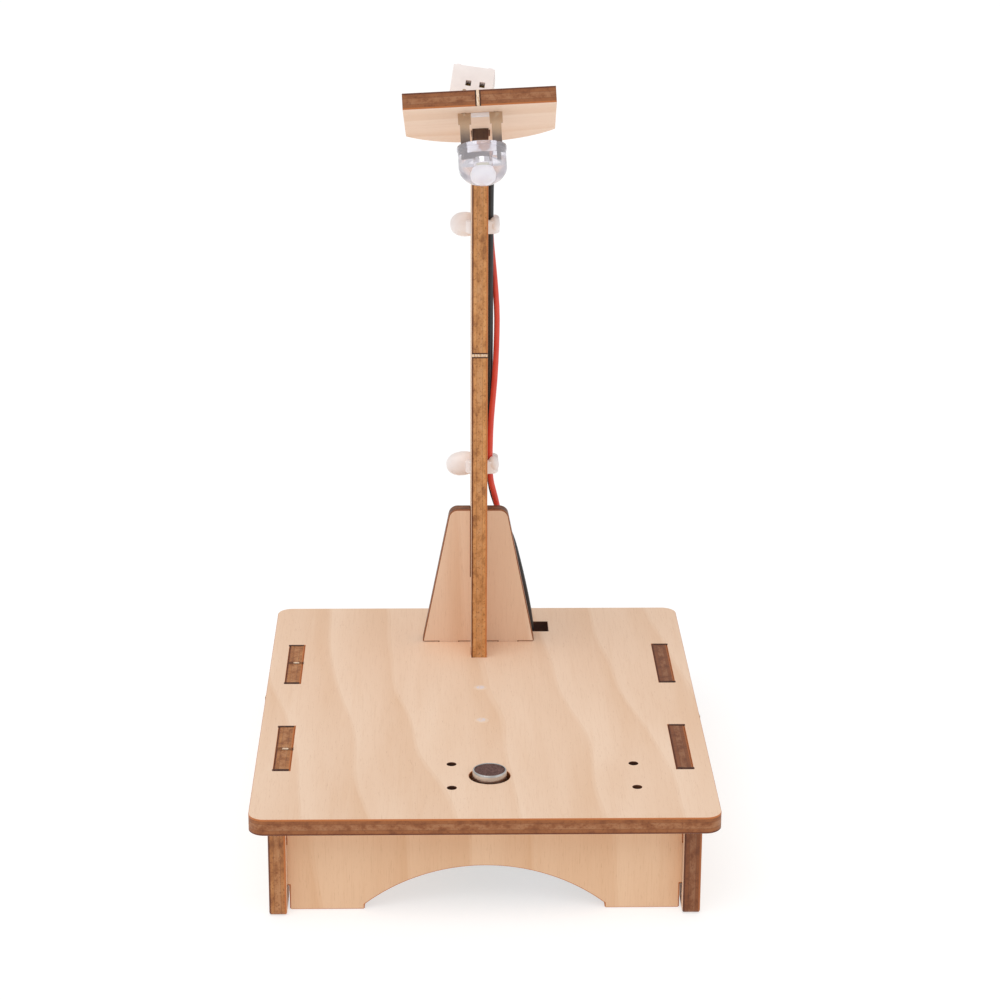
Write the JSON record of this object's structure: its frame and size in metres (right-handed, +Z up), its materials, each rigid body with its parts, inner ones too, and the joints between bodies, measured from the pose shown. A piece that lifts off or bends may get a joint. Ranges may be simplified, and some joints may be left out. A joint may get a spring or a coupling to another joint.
{
  "type": "sound-activated desk lamp kit",
  "caption": "Small plywood desk lamp on an arched base: upright post, pitched head plate with a clear round LED, tied wires, and a sound-switched circuit and cells underneath",
  "frame": {"origin": "on the floor, under the middle of the rectangular base plate", "axes": "+Z up, the lamp faces -Y, +X is the right-hand side seen from the front"},
  "size_m": [0.08, 0.1, 0.134],
  "materials": {
    "plywood": "laser-cut birch-faced plywood, unvarnished",
    "clear_resin": "clear cast resin",
    "tinned_lead": "tinned, slightly dull",
    "led_phosphor": "pale yellow coating",
    "white_nylon": "white nylon, faint sheen",
    "contact_brass": "plated sheet",
    "red_insulation": "red insulation",
    "black_insulation": "black insulation",
    "solder_mask": "green solder mask",
    "can_metal": "pressed aluminium-coloured can",
    "felt": "dark felt",
    "black_plastic": "moulded, matt",
    "resistor_body": "lacquered, with colour bands",
    "capacitor_sleeve": "shrink sleeve with a pale stripe",
    "solder": "bright solder",
    "trimmer_blue": "moulded, matt",
    "steel_screw": "zinc plated",
    "cell_sleeve": "printed-free plastic sleeve with a bright end",
    "spring_steel": "nickel plated"
  },
  "bodies": {
    "lamp": {"base_plate": "plywood", "left_leg": "plywood", "right_leg": "plywood", "front_panel": "plywood", "rear_panel": "plywood", "post": "plywood", "post_brace": "plywood", "head_plate": "plywood", "led_lens": "clear_resin", "led_leads": "tinned_lead", "led_chip": "led_phosphor", "lead_spacer": "white_nylon", "plug_housing": "white_nylon", "plug_contacts": "contact_brass", "red_wire": "red_insulation", "black_wire": "black_insulation", "upper_cable_tie": "white_nylon", "lower_cable_tie": "white_nylon", "circuit_board": "solder_mask", "board_washers": "white_nylon", "board_screws": "steel_screw", "microphone_can": "can_metal", "microphone_felt": "felt", "amplifier_chip": "black_plastic", "resistors": "resistor_body", "capacitor": "capacitor_sleeve", "transistor": "black_plastic", "solder_joints": "solder", "switch_housing": "black_plastic", "trimmer_housing": "trimmer_blue", "battery_holder": "black_plastic", "holder_screws": "steel_screw", "first_cell": "cell_sleeve", "second_cell": "cell_sleeve", "contact_plates": "spring_steel", "contact_springs": "spring_steel", "red_battery_lead": "red_insulation", "black_battery_lead": "black_insulation"},
    "switch_knob": {"switch_knob": "white_nylon"},
    "trimmer_rotor": {"trimmer_rotor": "white_nylon"}
  },
  "joints": [
    {"name": "switch_slide", "type": "slide", "parent": "lamp", "child": "switch_knob", "axis": [1, 0, 0], "range_m": [0, 0.002]},
    {"name": "trimmer_turn", "type": "hinge", "parent": "lamp", "child": "trimmer_rotor", "pos_m": [0.0096, -0.0356, 0.0088], "axis": [0, 0, -1], "range_deg": [-130, 130]}
  ]
}
